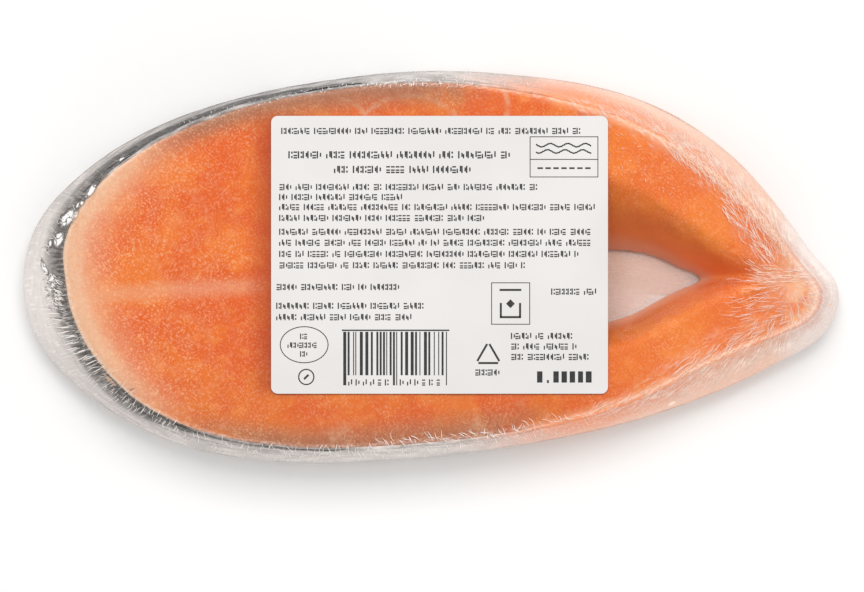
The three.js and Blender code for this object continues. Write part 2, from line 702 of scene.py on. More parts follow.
@dataclass(frozen=True)
class SkinFinish:
    """Fish skin: near black along the back's edge, silver below it, peach at the belly. The dark band is
    partly the back's own skin and partly painted shade of the gap under the film.
    """

    black: Colour = shade(16, 12, 10)
    dark: Colour = shade(100, 94, 89)
    grey: Colour = shade(138, 132, 129)
    silver: Colour = shade(182, 175, 171)
    light: Colour = shade(238, 231, 227)
    flesh: Colour = shade(250, 158, 98)
    belly: Colour = shade(255, 228, 214)

    def build(self) -> bpy.types.Material:
        """Makes the material.

        Returns:
            The finished material.
        """
        net = Net("salmon_skin")
        around, out, band = net.painted("around"), net.painted("out"), net.painted("band")
        long_streak = net.noise(1.0, 3.0, 0.6, net.joined(around * 0.14, out * 1.5))
        cross_streak = net.noise(1.0, 3.0, 0.6, net.joined(around * 1.3, out * 0.3, 5.0))
        along = long_streak - 0.5
        uneven = net.noise(1.6, 3.0) - 0.5 + along * 1.6
        # edge: the dark band by the flesh, partly dark skin and partly painted shade where the film stands
        # off the wall
        edge = (band + uneven * 0.6).step(-0.25, 0.25)
        edge = edge * (net.painted("start") + uneven * 0.3).step(-0.2, 0.2)
        # streaked grey by tone: partly the skin's own grey, partly painted shade on the wall's shaded side
        streaked = net.painted("tone") * (0.35 + 0.65 * long_streak.step(0.62, 0.38))
        deep = (net.painted("deep") + along * 0.9).step(0.35, 0.65)
        dark = net.coats(
            self.dark,
            (cross_streak.step(0.42, 0.66) * 0.8, self.silver),
            (deep * 0.95, self.black),
        )
        under = net.mix((out + along * 2.0).step(2.2, 6.2), self.flesh, self.belly)
        colour = net.coats(
            self.silver,
            (long_streak.step(0.35, 0.65), self.light),
            (streaked * out.step(8.0, 2.5), self.grey),
            (edge, dark),
            ((net.along(Axis.X) + along * 30.0).step(0.0, 38.0) * 0.95, under),
        )
        normal = net.bump(cross_streak * 0.5 + long_streak, 0.15, 0.7)
        return net.show(net.solid(colour, 0.55, Normal=normal, Specular_IOR_Level=0.08))


@dataclass(frozen=True)
class BoneFinish:
    """A sawn backbone: pale, with a darker marrow grain."""

    bone: Colour = shade(232, 216, 196)
    marrow: Colour = shade(196, 140, 118)

    def build(self) -> bpy.types.Material:
        """Makes the material.

        Returns:
            The finished material.
        """
        net = Net("cut_backbone")
        pores, clouds = net.noise(0.8, 3.0, 0.7), net.noise(3.0)
        stains = ((pores.step(0.5, 0.75) * 0.5, self.marrow), (clouds.step(0.5, 0.7) * 0.2, self.marrow))
        colour = net.coats(self.bone, *stains)
        return net.show(net.solid(colour, 0.6, Normal=net.bump(pores, 0.2, 0.7)))


@dataclass(frozen=True)
class FilmFinish:
    """Clear film: a thin gloss, with frost and pressed creases that turn it white; the creases' white is
    partly whitening and partly painted highlight.
    """

    gather: tuple[float, float]
    veil: Colour = shade(246, 238, 233)
    bright: Colour = shade(252, 250, 248)
    # warm: a cream tint for frost over the flesh; in the cavity's hole it is painted orange light bounced off
    # the walls
    warm: Colour = shade(252, 182, 133)
    shadow: Colour = shade(96, 90, 86)
    clear_gloss: float = 0.12
    refraction: float = 1.18
    ray_count: float = 84.0
    glint_edge: float = GLINT_EDGE

    def build(self) -> bpy.types.Material:
        """Makes the material.

        Returns:
            The finished material.
        """
        net = Net("clear_shrink_film")
        around, inward = net.painted("around"), net.painted("inward")
        fine = net.noise(1.0, 2.0, 0.6, net.joined(around * 1.9, inward * 0.2), 0.3)
        cloud = net.noise(1.0, 3.0, 0.6, net.joined(around * 0.3, inward * 0.9, 2.0))
        rays, frost = self.rays(net), net.painted("frost")
        hairy, lip = net.painted("hair"), net.painted("lip")
        # hair: fine white crease lines, partly frost whitening and partly painted highlight
        hair = (fine.step(0.55, 0.66) * hairy).most(rays.step(0.5, 0.64) * frost * 0.5)
        hair = hair.most(lip * net.noise(0.8, 3.0, 0.7).step(0.4, 0.66) * 0.55)
        # glint, bright and vein: painted highlights on the film, crossed and outlined by painted shadow lines
        glint = net.painted("glint") + (net.noise(0.8) - 0.5) * 0.5
        vein = abs(net.noise(3.0, 1.0) - 0.5).step(0.04, 0.012) * glint.step(-0.3, 0.0)
        bright = glint.step(0.02, 0.34) * (1 - 0.7 * vein)
        outline = abs(glint - self.glint_edge).step(0.2, 0.04).most(vein * 0.7)
        haze = net.painted("haze") * (0.75 + 0.5 * cloud)
        haze = haze + frost * (0.03 + 0.2 * net.noise(3.4, 3.0, 0.6).step(0.36, 0.68))
        cover = (haze + hair * 0.5).most(bright * 0.95).most(outline * 0.55).least(0.96)
        normal = net.bump(fine * hairy + rays * frost + net.noise(2.2) * 0.4, 0.2, 0.8)
        colour = net.coats(
            self.veil,
            (net.painted("warm"), self.warm),
            (bright.most(hair * 0.8), self.bright),
            (outline, self.shadow),
        )
        inputs = {0: cover, 1: self.clear_part(net, normal), 2: net.solid(colour, 0.4, Normal=normal)}
        return net.show(net.node("ShaderNodeMixShader", {}, inputs).outputs[0])

    def rays(self, net: Net) -> Value:
        """Noise drawn out along the rays that leave the gather.

        Args:
            net: The material's nodes.

        Returns:
            The noise.
        """
        back = self.gather[0] - net.along(Axis.X)
        aside = net.along(Axis.Y) - self.gather[1]
        bearing = aside.work("ARCTAN2", back)
        reach = (back * back + aside * aside).work("SQRT")
        web = net.noise(1.0, 2.0, 0.5, net.joined(bearing * self.ray_count, reach * 0.3), 0.6)
        return web * reach.step(1.0, 8.0)

    def clear_part(self, net: Net, normal: Socket) -> Socket:
        """The film where nothing whitens it.

        Args:
            net: The material's nodes.
            normal: The film's bent normal.

        Returns:
            The clear shader with its gloss.
        """
        share = net.node("ShaderNodeFresnel", {}, {"IOR": self.refraction}).outputs[0]
        through = net.node("ShaderNodeBsdfTransparent", {}, {}).outputs[0]
        inputs = {"Roughness": self.clear_gloss, "Normal": normal}
        gloss = net.node("ShaderNodeBsdfGlossy", {}, inputs).outputs[0]
        return net.node("ShaderNodeMixShader", {}, {0: share, 1: through, 2: gloss}).outputs[0]


@dataclass(frozen=True)
class PaperFinish:
    """Smooth white label paper with a faint tooth."""

    white: Colour = shade(216, 213, 211)
    grey: Colour = shade(208, 205, 203)

    def build(self) -> bpy.types.Material:
        """Makes the material.

        Returns:
            The finished material.
        """
        net = Net("label_paper")
        tooth = net.noise(0.5, 3.0, 0.7)
        colour = net.mix(net.noise(24.0).step(0.35, 0.7) * 0.6, self.white, self.grey)
        return net.show(net.solid(colour, 0.55, Normal=net.bump(tooth, 0.02, 0.5)))


@dataclass(frozen=True)
class InkFinish:
    """Thermal print: black with slightly uneven cover."""

    black: Colour = shade(30, 29, 30)
    worn: Colour = shade(66, 64, 64)

    def build(self) -> bpy.types.Material:
        """Makes the material.

        Returns:
            The finished material.
        """
        net = Net("label_print")
        colour = net.mix(net.noise(1.4, 3.0, 0.7).step(0.5, 0.75) * 0.6, self.black, self.worn)
        return net.show(net.solid(colour, 0.6))


# ---- the pack's form ---------------------------------------------------------------------------


@dataclass
class Loop:
    """Stations evenly spaced round the pack: the film's reach at its widest and how far its wall leans."""

    angle: Array
    outer: Array
    lean: Array
    around: Array

    def xy(self, inset: Array | float) -> Array:
        """The plan of the stations, moved in from the widest outline.

        Args:
            inset: How far in, in mm.

        Returns:
            One x and y for each station.
        """
        reach = self.outer - inset
        return np.stack([np.cos(self.angle) * reach, np.sin(self.angle) * reach], axis=-1)


@dataclass
class PackForm:
    """The wrapped pack's outer form, read from the frame."""

    node: str = "wrapped_steak"
    widest_at: float = 4.6
    shoulder: float = 1.4
    base_tuck: float = 2.4
    wall_curve: float = 1.3
    smoothing: float = 2.2
    samples: int = 6000
    far: float = 150.0
    height: float = field(init=False)

    def __post_init__(self) -> None:
        """Makes the form ready for its reach to be measured."""
        self.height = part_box(self.node)[1].z / MM
        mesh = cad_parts[self.node].data
        corners = [vertex.co / MM for vertex in mesh.vertices]
        faces = [tuple(polygon.vertices) for polygon in mesh.polygons]
        self.tree = BVHTree.FromPolygons(corners, faces)

    def reach(self, angles: Array, height: float) -> Array:
        """How far the form reaches from the middle in each direction.

        Args:
            angles: The directions, in radians.
            height: The height to measure at, in mm.

        Returns:
            The reach in each direction.
        """
        ways = (Vector((math.cos(a), math.sin(a), 0.0)) for a in angles)
        lift = Vector((0.0, 0.0, height))
        return np.array([self.far - self.tree.ray_cast(lift + way * self.far, -way)[3] for way in ways])

    @staticmethod
    def rounded(values: Array, spread: float) -> Array:
        """A ring of values with its corners rounded over about this many stations."""
        turns = np.fft.rfftfreq(len(values)) * TURN * spread
        return np.fft.irfft(np.fft.rfft(values) * np.exp(-0.5 * turns**2), len(values))

    def loop(self, stations: int) -> Loop:
        """Stations evenly spaced along the widest outline.

        Args:
            stations: How many.

        Returns:
            The stations.
        """
        angles = np.linspace(0, TURN, self.samples, endpoint=False)
        outer = self.reach(angles, self.widest_at)
        ends = np.append(angles, TURN)
        ring = np.stack([np.cos(ends), np.sin(ends)]) * np.append(outer, outer[0])
        travelled = np.concatenate([[0], np.cumsum(np.linalg.norm(np.diff(ring), axis=0))])
        around = np.linspace(0, travelled[-1], stations, endpoint=False)
        chosen = np.interp(around, travelled, ends)
        spread = self.smoothing / (travelled[-1] / stations)
        outer = self.rounded(self.reach(chosen, self.widest_at), spread)
        foot = self.rounded(self.reach(chosen, self.height - self.shoulder), spread)
        return Loop(chosen, outer, outer - foot, around)

    def inset(self, lean: Array, height: float, shoulder: float, top: float) -> Array:
        """How far the wall stands in from the widest outline, at one height.

        Args:
            lean: How far the wall leans in by the shoulder's foot, at each station.
            height: The height, in mm.
            shoulder: The radius of the edge below the top.
            top: The height of the top face.

        Returns:
            The inset at each station.
        """
        if height < self.widest_at:
            share = 1 - height / self.widest_at
            return self.base_tuck * (1 - math.sqrt(1 - share**2)) * np.ones_like(lean)
        foot = top - shoulder
        share = min(1.0, (height - self.widest_at) / (foot - self.widest_at))
        over = max(0.0, min(1.0, (height - foot) / shoulder))
        return lean * share**self.wall_curve + shoulder * (1 - math.sqrt(1 - over**2))


@dataclass
class Cavity:
    """The belly cavity: a leaf-shaped hole whose walls slope back to the upper cut face."""

    half_width: Stops = curve({3: 0, 9: 6, 17: 8, 28: 8.9, 42: 8.4, 49: 7.2, 54: 5.2, 60: 2.3, 66: 0, 90: 0})
    middle: Stops = curve({0: -2.5, 16: -4, 28: -4.8, 42: -4.9, 49: -4.1, 54: -3, 66: -2.8, 80: -2.2})
    upper_slope: Stops = curve({-4: 3, 16: 12, 30: 18, 42: 19.4, 52: 15.2, 64: 11.6, 72: 7.5, 82: 3.5})
    lower_slope: Stops = curve({-4: 3, 16: 5.5, 42: 7.4, 60: 7.4, 72: 5, 82: 2.6})
    floor: Stops = curve({-3: 16.5, 3: 0, 65: 0, 69: 5.5, 73: 10.5, 78: 14, 85: 16.6})
    least_slope: float = 0.5
    roundness: float = 0.6
    open_height: float = -1.5

    def depth_line(self, x: Array, y: Array, top: float) -> Array:
        """The height of the flesh at one place in plan, where the cavity cuts into it.

        Args:
            x: Places along the steak, in mm.
            y: Places across it.
            top: The height of the cut face.

        Returns:
            The height of the cavity's wall; below 0 in the hole, above top outside it.
        """
        aside = y - eased_curve(x, self.middle)
        half = np.maximum(0, eased_curve(x, self.half_width, 1.5))
        slope = np.where(aside > 0, eased_curve(x, self.upper_slope), eased_curve(x, self.lower_slope))
        floor = eased_curve(x, self.floor, 1.5)
        share = (np.abs(aside) - half) / np.maximum(slope, self.least_slope)
        share_up = np.clip(share, 0, 1)
        rise = self.roundness * (1 - (1 - share_up) ** 2) + (1 - self.roundness) * share_up
        wall = floor + (top + 0.5 - floor) * rise
        return np.where((share < 0) & (floor < 0.5), self.open_height, wall)


# ---- the steak ---------------------------------------------------------------------------------


@dataclass
class Steak:
    """The salmon inside the film: its flesh, its skin and its backbone."""

    form: PackForm
    cavity: Cavity
    film_gap: float = 0.25
    headroom: float = 0.1
    skin_thickness: float = 0.5
    skin_overlap: float = 0.1
    shoulder: float = 1.0
    stations: int = 480
    wall_levels: int = 15
    crowd_wall: float = 1.6
    voxel: float = 0.72
    relief: float = 0.09
    cavity_box: tuple[tuple[float, float], tuple[float, float]] = ((41.0, 46.0), (1.0, 28.0))
    backbone_at: tuple[float, float] = (-9.0, -1.6)
    backbone_radius: float = 5.2
    backbone_sides: int = 48
    # band and tone curves by bearing: the skin's dark band and grey streaks, partly its own colour and partly
    # painted shade
    band_width: Stops = curve({
        0: -3, 90: -3, 106: -1, 112: 0.9, 118: 1.5, 130: 1.8, 138: 2.3, 152: 2.4, 160: 3.2, 168: 4.4,
        176: 5, 183: 3.6, 190: 3.5, 200: 4, 206: 3.8, 212: 1.6, 218: 0.8, 222: 0.7, 236: 0.8, 246: 0.1,
        256: -1.5, 270: -3, 360: -3,
    })
    band_start: Stops = curve({
        0: 0, 96: 0.2, 124: 0.1, 131: 0.4, 138: 0.8, 150: 0.7, 164: 0.3, 172: -1, 206: -1, 214: 0, 360: 0,
    })
    tone: Stops = curve({
        0: 0, 84: 0.2, 108: 0.6, 130: 0.8, 144: 0.95, 162: 0.95, 172: 0.5, 180: 0.1, 188: 0.1, 202: 0.7,
        222: 0.6, 250: 0, 360: 0,
    })
    band_depth: Stops = curve({
        0: 0, 104: 0.2, 112: 0.8, 118: 1.15, 140: 1.15, 147: 0.8, 150: 0.6, 160: 0.6, 170: 0.4, 185: 0.2,
        198: 0.3, 204: 0.5, 208: 0.55, 212: 0.5, 220: 0.4, 236: 0.5, 250: 0.5, 262: 0.2, 360: 0,
    })

    def __post_init__(self) -> None:
        """Works out the cut faces' heights."""
        self.top = self.form.height - self.film_gap - self.headroom
        self.bottom = self.film_gap

    def ring(self, loop: Loop, height: float, gap: float) -> Array:
        """The steak's outline at one height, this far inside the film's."""
        inset = self.form.inset(loop.lean, height, self.shoulder, self.top)
        return loop.xy(inset + gap)

    def build(self) -> list[Piece]:
        """Builds all of the steak.

        Returns:
            Its pieces.
        """
        return [self.flesh(), self.skin(), self.backbone()]

    def flesh(self) -> Piece:
        """Lofts the flesh, cuts the cavity, and gives the surface its relief.

        Returns:
            The flesh.
        """
        loop = self.form.loop(self.stations)
        rise = np.linspace(0, 1, self.wall_levels)
        heights = list(self.bottom + (self.top - self.bottom) * (1 - (1 - rise) ** self.crowd_wall))
        piece, station, level = Bench.loft("salmon_flesh", self.stations, heights, capped=True)
        gap = self.film_gap + self.skin_thickness - self.skin_overlap
        rings = np.stack([self.ring(loop, height, gap) for height in heights])
        points = np.concatenate([rings[level, station], np.array(heights)[level][:, None]], axis=1)
        Bench.place(piece, points)
        self.cut_cavity(piece)
        Bench.finish_with(piece, "REMESH", mode="VOXEL", voxel_size=self.voxel * MM)
        Bench.finish_with(piece, "SMOOTH", factor=0.6, iterations=4)
        self.shape_surface(piece, loop)
        Bench.smooth(piece)
        piece.data.materials.append(FleshFinish().build())
        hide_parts("wrapped_steak")
        return piece

    def cut_cavity(self, piece: Piece) -> None:
        """Takes the cavity out of the flesh.

        Args:
            piece: The lofted flesh.
        """
        Bench.clear()
        bpy.ops.mesh.primitive_grid_add(x_subdivisions=150, y_subdivisions=96, size=2.0)
        cutter = Bench.claim("cavity_cutter")
        plan = Bench.points(cutter) * MM
        x, y = (middle + plan[:, i] * half for i, (middle, half) in enumerate(self.cavity_box))
        wall = np.minimum(self.cavity.depth_line(x, y, self.top), self.top + 0.4)
        Bench.place(cutter, np.stack([x, y, wall], axis=1))
        with Bench.editing(cutter):
            bpy.ops.mesh.extrude_region_move(TRANSFORM_OT_translate={"value": (0, 0, 0.01)})
            bpy.ops.transform.resize(value=(1, 1, 0))
            Bench.close_up()
        points = Bench.points(cutter)
        points[len(plan):, 2] = self.top + 6
        Bench.place(cutter, points)
        Bench.finish_with(piece, "BOOLEAN", operation="DIFFERENCE", solver="EXACT", object=cutter)
        bpy.data.objects.remove(cutter)

    def shape_surface(self, piece: Piece, loop: Loop) -> None:
        """Gives the flesh its relief, and stores what its material reads.

        Args:
            piece: The flesh.
            loop: The stations round the pack.
        """
        points = Bench.points(piece)
        lift = 0.6 * ripple(points, 7.0, 3) + 0.4 * ripple(points, 2.6, 4)
        points += Bench.normals(piece) * (np.clip(lift, -1.5, 1.0) * self.relief)[:, None]
        points[:, 2] = np.clip(points[:, 2], self.bottom - 0.1, self.top + 0.05)
        Bench.place(piece, points)
        x, y, z = points.T
        angle = np.mod(np.arctan2(y, x), TURN)
        edge = loop.outer - self.form.inset(loop.lean, self.top, self.shoulder, self.top)
        reach = np.interp(angle, loop.angle, edge, period=TURN)
        Bench.paint(piece, "rim", np.clip(reach - np.hypot(x, y), -2, 30))
        # inner: where painted light lifts the shade of the cavity's upper slope
        sloped = self.cavity.depth_line(x, y, self.top) < self.top + 0.3
        above = y > eased_curve(x, self.cavity.middle)
        Bench.paint(piece, "inner", ease(z, self.top - 0.6, self.top - 9.0) * (sloped & above))
        # peach: where the painted glow of thin flesh lies, low on both cavity slopes
        low = np.where(above, ease(z, 7.5, 1.0) * 0.9, ease(z, self.top - 7.0, self.top - 14.0) * 0.85)
        Bench.paint(piece, "peach", low * sloped)

    def skin(self) -> Piece:
        """Wraps the flesh's side in a band of skin.

        Returns:
            The skin.
        """
        loop = self.form.loop(self.stations)
        heights = list(np.linspace(self.bottom + 0.15, self.top - 0.3, self.wall_levels))
        piece, station, level = Bench.loft("salmon_skin", self.stations, heights, capped=False)
        rings = np.stack([self.ring(loop, height, self.film_gap) for height in heights])
        height = np.array(heights)[level]
        points = np.concatenate([rings[level, station], height[:, None]], axis=1)
        outward = points[:, :2] / np.linalg.norm(points[:, :2], axis=1)[:, None]
        points[:, :2] += outward * (0.12 * ripple(points, 3.5, 8) - 0.08)[:, None]
        Bench.place(piece, points)
        out = np.linalg.norm(rings - rings[-1], axis=2)[level, station]
        bearing = np.degrees(loop.angle)[station]
        curves = (self.band_width, self.band_start, self.tone, self.band_depth)
        width, start, tone, depth = (eased_curve(bearing, stops, 2.0) for stops in curves)
        Bench.paint(piece, "around", loop.around[station])
        Bench.paint(piece, "out", out)
        Bench.paint(piece, "band", width - out)
        Bench.paint(piece, "start", out - start)
        Bench.paint(piece, "tone", tone)
        Bench.paint(piece, "deep", depth)
        Bench.finish_with(piece, "SOLIDIFY", thickness=self.skin_thickness * MM, offset=-1.0)
        Bench.finish_with(piece, "BEVEL", width=0.12 * MM, segments=2, angle_limit=math.radians(50))
        Bench.smooth(piece, 50)
        piece.data.materials.append(SkinFinish().build())
        return piece

    def backbone(self) -> Piece:
        """Makes the sawn backbone, flush with both cut faces, with the hollow of its cord.

        Returns:
            The backbone.
        """
        heights = [self.bottom - 0.12, self.bottom + 0.3, 8.0, self.top - 0.3, self.top + 0.08]
        piece, station, level = Bench.loft("backbone", self.backbone_sides, heights, capped=True)
        turn = station / self.backbone_sides * TURN
        uneven = 1 + 0.08 * np.sin(3 * turn + 0.6) + 0.05 * np.sin(5 * turn)
        radius = self.backbone_radius * uneven * np.array([0.94, 1.0, 1.0, 1.0, 0.94])[level]
        x = self.backbone_at[0] + np.cos(turn) * radius
        y = self.backbone_at[1] + np.sin(turn) * radius * 0.9
        Bench.place(piece, np.stack([x, y, np.array(heights)[level]], axis=1))
        with Bench.editing(piece, "DESELECT"):
            bpy.ops.mesh.select_mode(type="FACE")
            bpy.ops.object.mode_set(mode="OBJECT")
            for polygon in piece.data.polygons:
                polygon.select = abs(polygon.normal.z) > 0.9 and polygon.loop_total > 4
            bpy.ops.object.mode_set(mode="EDIT")
            for step, depth in ((0.9, 0.0), (1.1, -0.18), (1.2, -0.1)):
                bpy.ops.mesh.inset(thickness=step * MM, depth=depth * MM, use_individual=True)
            bpy.ops.mesh.select_mode(type="VERT")
        Bench.smooth(piece, 40)
        piece.data.materials.append(BoneFinish().build())
        return piece


# ---- the film ----------------------------------------------------------------------------------


@dataclass(frozen=True)
class Creases:
    """A family of sharp film creases near the outline, between two bearings; aim turns them to a place."""

    bearing: tuple[float, float]
    setback: tuple[float, float]
    length: tuple[float, float]
    turn: tuple[float, float]
    count: int
    width: float = 0.26
    # white: how white the crease is, partly whitening and partly painted highlight; at 0 it takes the painted
    # shadow colour
    white: float = 0.9
    aim: tuple[float, float] | None = None


@dataclass(frozen=True)
class Spokes:
    """A family of creases that fan out from one place."""

    centre: tuple[float, float]
    bearing: tuple[float, float]
    reach: tuple[float, float]
    length: tuple[float, float]
    count: int
    width: float = 0.24
    white: float = 0.7


@dataclass(frozen=True)
class Fold:
    """One crease, in plan: where it starts, how it runs, and how it looks."""

    start: Array
    run: Array
    bow: float
    width: float
    white: float


@dataclass(frozen=True)
class Glint:
    """A painted highlight: a patch where the film stands clear and catches the light."""

    centre: tuple[float, float]
    size: tuple[float, float]
    angle: float


@dataclass
class Film:
    """The shrink film: one closed skin round the steak, creased where it was drawn in."""

    form: PackForm
    cavity: Cavity
    stations: int = 1240
    wall_rings: int = 30
    under_rings: int = 10
    top_rings: int = 38
    outline_stations: int = 720
    edge_samples: int = 1440
    gather: tuple[float, float] = (85.5, -4.4)
    dip: float = 1.6
    weld: float = 0.0005
    crowd_wall: float = 1.35
    crowd_under: float = 0.6
    crowd_top: float = 1.75
    last_under: float = 0.96
    crease_height: float = 0.45
    frost_above: Stops = curve({24: 0, 32: 1.5, 40: 2.6, 50: 4.4, 61: 5.6, 71: 8, 76: 12, 82: 18, 100: 18})
    frost_below: Stops = curve({
        30: 0, 38: 1, 45: 3, 52: 5, 59: 6.5, 64: 8, 70: 9, 77: 10, 84: 16, 100: 18,
    })
    haze_low: Stops = curve({
        0: 0.85, 16: 0.6, 32: 0.3, 60: 0.35, 92: 0.3, 104: 0.15, 112: 0.02, 144: 0.02, 160: 0.1, 172: 0.4,
        180: 0.85, 190: 0.72, 203: 0.36, 235: 0.42, 290: 0.4, 320: 0.35, 345: 0.5, 360: 0.85,
    })
    haze_high: Stops = curve({
        0: 0.5, 14: 0.35, 30: 0.12, 60: 0.12, 90: 0.1, 112: 0.01, 144: 0.01, 206: 0.03, 235: 0.2,
        290: 0.3, 320: 0.2, 345: 0.35, 360: 0.5,
    })
    off_streak: Stops = curve({0: 1, 102: 1, 112: 0.25, 144: 0.25, 156: 1, 360: 1})
    # glints: painted highlights, each its middle, half sizes and turn, in mm and degrees
    glints: tuple[Glint, ...] = (
        Glint((-81.6, 18.0), (2.3, 0.7), 50),
        Glint((-84.2, 14.8), (1.3, 0.55), 42),
        Glint((-87.3, 11.6), (2.7, 1.4), 50),
        Glint((-85.2, 12.2), (1.8, 0.4), 62),
        Glint((-89.4, 6.4), (2.0, 1.15), 62),
        Glint((-91.7, 5.2), (1.5, 0.35), 62),
        Glint((-93.0, -0.2), (1.9, 0.5), 112),
        Glint((-91.4, -3.2), (1.2, 0.5), 40),
        Glint((-74.3, 25.7), (0.8, 0.5), 40),
    )

    def sections(self, loop: Loop) -> tuple[Array, Array]:
        """Every ring of the film from the middle of its base to the middle of its top.

        Args:
            loop: The stations round the pack.

        Returns:
            The rings' points, and how far each lies from the widest outline along the film.
        """
        rise = 1 - (1 - np.linspace(0, 1, self.wall_rings)) ** self.crowd_wall
        heights = self.form.height * rise
        wall = []
        for height in heights:
            plan = loop.xy(self.form.inset(loop.lean, height, self.form.shoulder, self.form.height))
            wall.append(np.concatenate([plan, np.full((len(plan), 1), height)], axis=1))
        inner = np.linspace(0, self.last_under, self.under_rings) ** self.crowd_under
        outer = 1 - np.linspace(0, 1, self.top_rings + 1)[1:] ** self.crowd_top
        under = [wall[0] * (share, share, 1) for share in inner]
        over = [wall[-1] * (share, share, 1) for share in outer]
        rings = np.array(under + wall + over)
        start = self.under_rings + int(np.argmax(heights >= self.form.widest_at))
        steps = np.linalg.norm(np.diff(rings, axis=0), axis=2)
        inward = np.concatenate([np.zeros((1, rings.shape[1])), np.cumsum(steps, axis=0)])
        return rings, inward - inward[start]

    def build(self) -> list[Piece]:
        """Builds the film and its creases.

        Returns:
            Both pieces.
        """
        finish = FilmFinish(gather=self.gather).build()
        skin = self.skin(finish)
        return [skin, self.creases(skin, finish)]

    def skin(self, finish: bpy.types.Material) -> Piece:
        """Wraps a flat sheet round the form, welds its seam and both middles, and crumples it.

        Args:
            finish: The film's material.

        Returns:
            The film.
        """
        loop = self.form.loop(self.stations)
        rings, inward = self.sections(loop)
        Bench.clear()
        bpy.ops.mesh.primitive_grid_add(x_subdivisions=self.stations, y_subdivisions=len(rings) - 1, size=2.0)
        piece = Bench.claim("clear_film")
        sheet = Bench.points(piece) * MM
        column = np.round((sheet[:, 0] + 1) / 2 * self.stations).astype(int) % self.stations
        row = np.round((sheet[:, 1] + 1) / 2 * (len(rings) - 1)).astype(int)
        Bench.place(piece, rings[row, column])
        Bench.paint(piece, "around", loop.around[column])
        Bench.paint(piece, "inward", inward[row, column])
        with Bench.editing(piece):
            bpy.ops.mesh.remove_doubles(threshold=self.weld * MM)
            bpy.ops.mesh.normals_make_consistent(inside=False)
        self.crumple(piece)
        Bench.smooth(piece)
        piece.data.materials.append(finish)
        return piece

    def crumple(self, piece: Piece) -> None:
        """Dips the film over the cavity, gives it soft pleats, and stores where it is whitened.

        Args:
            piece: The smooth film.
        """
        points = Bench.points(piece)
        normals = Bench.normals(piece)
        x, y, z = points.T
        wall = ease(z, self.form.height - 0.05, self.form.height - 1.5)
        self.whiten(piece, points, wall)
        draw = np.random.default_rng(12)
        lift = 0.06 * ripple(points, 4.5, 21) + 0.04 * ripple(points, 1.8, 22)
        pleats = (
            (self.run_in(draw, Creases((0, 360), (0.5, 5), (3, 6), (0, 16), 260, 0.5)), (0.08, 0.2)),
            (self.run_in(draw, Creases((156, 184), (2, 4.5), (2, 3.4), (-15, 15), 26, 0.5)), (0.15, 0.3)),
            (self.fan_out(draw, Spokes(self.gather, (95, 255), (1, 12), (4, 12), 60, 0.5)), (0.1, 0.25)),
        )
        for family, heights in pleats:
            for fold in family:
                lift += self.ridge(points[:, :2], fold) * draw.uniform(*heights)
        line = self.cavity.depth_line(x, y, self.form.height)
        over = ease(line, self.form.height + 0.4, self.form.height - 8.0) * (z > 15)
        calm = ease(z, 3.0, 7.0) * self.clear_of_label(x, y)
        points += normals * (lift * calm)[:, None]
        points[:, 2] -= self.dip * ease(x, 42.5, 46.0) * over
        Bench.place(piece, points)

    def edge_at(self, angle: Array) -> Array:
        """Where the top face's edge lies, in plan.

        Args:
            angle: The directions to look in, in radians.

        Returns:
            One x and y for each direction.
        """
        loop = self.form.loop(self.outline_stations)
        top = self.form.inset(loop.lean, self.form.height, self.form.shoulder, self.form.height)
        reach = np.interp(angle, loop.angle, loop.outer - top, period=TURN)
        return np.stack([np.cos(angle) * reach, np.sin(angle) * reach], axis=-1)

    def from_edge(self, points: Array) -> Array:
        """How far each point lies from the top face's edge, in plan.

        Args:
            points: The points, in mm.

        Returns:
            One distance for each point.
        """
        edge = self.edge_at(np.linspace(0, TURN, self.edge_samples, endpoint=False))
        tree = KDTree(len(edge))
        for i, (x, y) in enumerate(edge):
            tree.insert((x, y, 0), i)
        tree.balance()
        return np.array([tree.find((x, y, 0))[2] for x, y in points[:, :2]])

    @staticmethod
    def clear_of_label(x: Array, y: Array) -> Array:
        """Where the film is free of the label, which presses it flat.

        Args:
            x: Places along the steak, in mm.
            y: Places across it.

        Returns:
            0 under the label, rising to 1 a little outside it.
        """
        low, high = (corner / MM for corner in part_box("label"))
        outside = np.maximum.reduce([low.x - x, x - high.x, low.y - y, y - high.y])
        return ease(outside, -0.5, 1.5)

    @staticmethod
    def ridge(plan: Array, fold: Fold) -> Array:
        """A soft ridge along one fold.

        Args:
            plan: The film's points in plan.
            fold: The fold.

        Returns:
            The ridge's height at each point, 0 to 1.
        """
        length = np.linalg.norm(fold.run)
        along = np.clip((plan - fold.start) @ fold.run / length**2, 0, 1)
        side = (plan - fold.start) @ np.array([-fold.run[1], fold.run[0]]) / length
        return np.exp(-((side / fold.width) ** 2)) * np.sin(math.pi * along) ** 0.7

